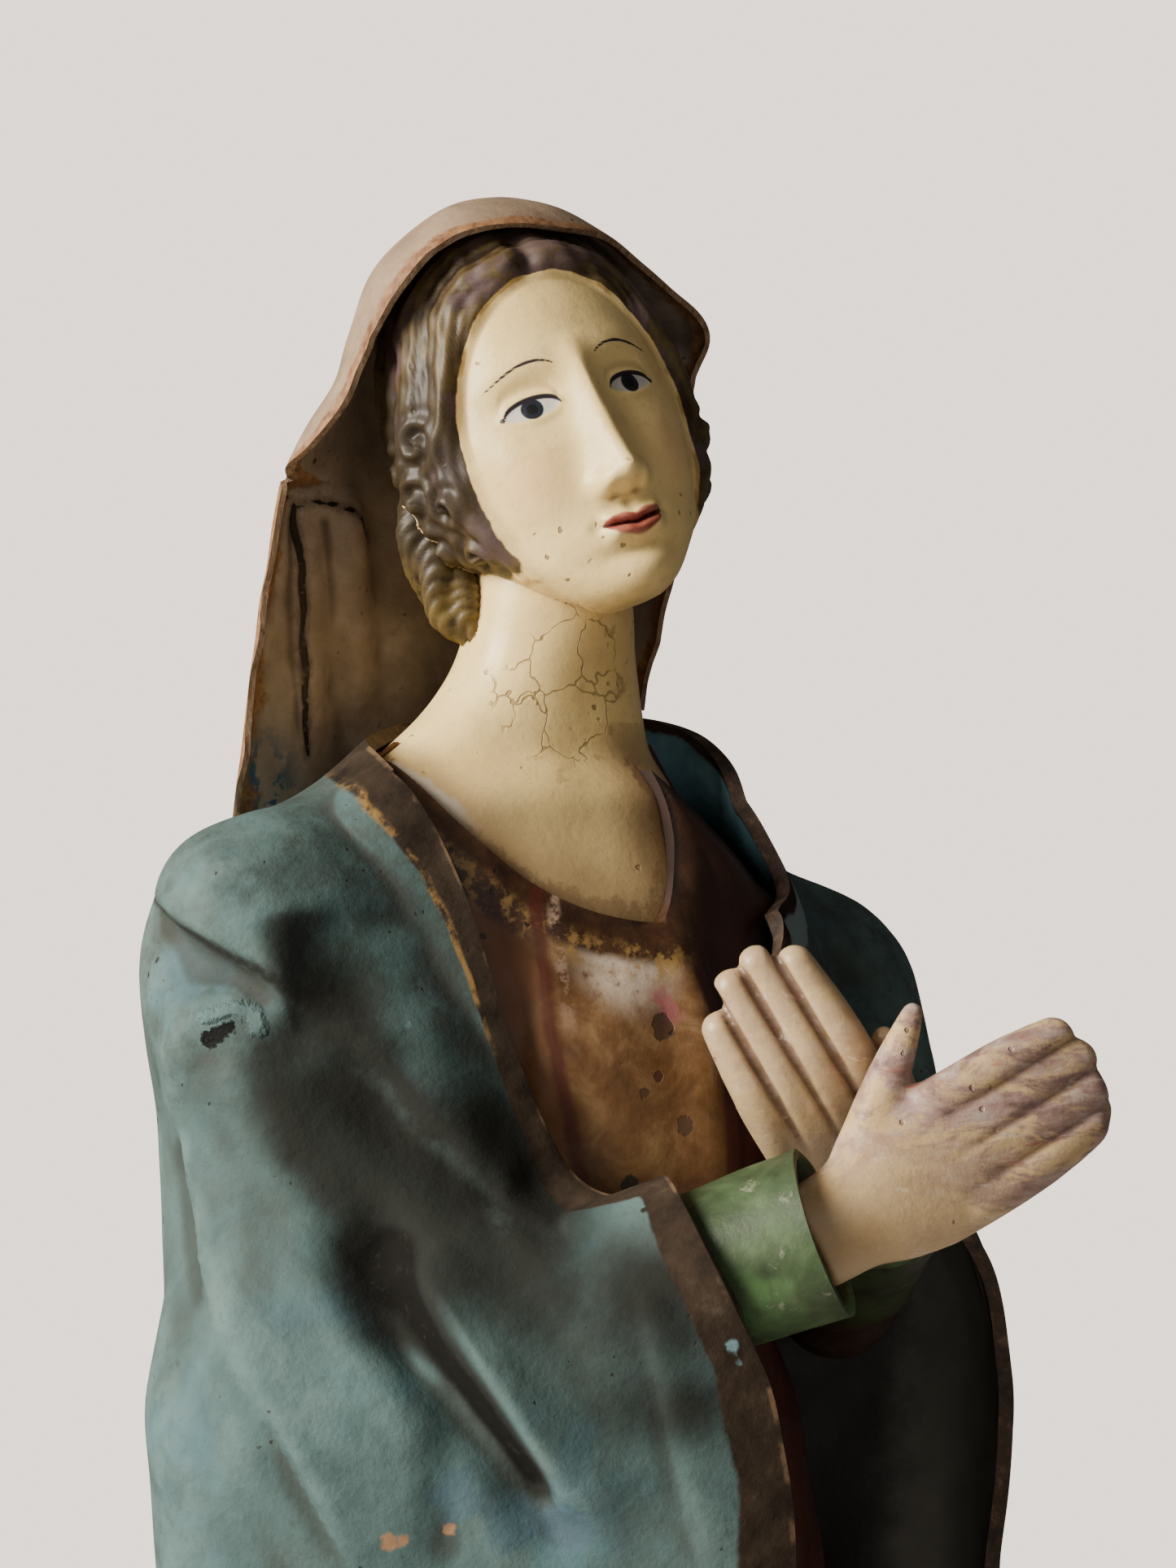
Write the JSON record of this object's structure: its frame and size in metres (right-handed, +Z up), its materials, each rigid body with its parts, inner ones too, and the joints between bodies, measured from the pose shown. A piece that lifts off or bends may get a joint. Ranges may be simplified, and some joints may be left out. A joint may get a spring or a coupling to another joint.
{
  "type": "madonna figurine",
  "caption": "Standing veiled woman in a long mantle, hands crossed and raised before the chest, head turned and tilted upward, on a low wooden base with cut corners.",
  "frame": {"origin": "middle of the base's underside, below the figure's upright axis", "axes": "+Z up, the figure faces -Y, her left side is +X"},
  "size_m": [0.148, 0.132, 0.4284],
  "materials": {
    "base_wood": "dark stained wood, satin, worn at the edges",
    "gown_paint": "papier-mache painted dark red, the bodice ochre with worn gilding, satin",
    "head_paint": "cast and painted: ivory skin, ochre-brown hair, aged varnish, crazed on the neck",
    "veil_paint": "papier-mache painted pinkish grey, matt, cracked, torn along the rim",
    "mantle_paint": "papier-mache painted teal grey-blue with a dark brown border, worn satin",
    "sleeve_paint": "papier-mache painted green, worn satin",
    "hand_paint": "cast and painted ivory, varnished, worn pink and grey at the fingers"
  },
  "bodies": {
    "root": {"base": "base_wood", "gown": "gown_paint", "head": "head_paint", "veil": "veil_paint", "mantle": "mantle_paint", "right_sleeve": "sleeve_paint", "left_sleeve": "sleeve_paint", "right_hand": "hand_paint", "left_hand": "hand_paint"}
  },
  "joints": []
}
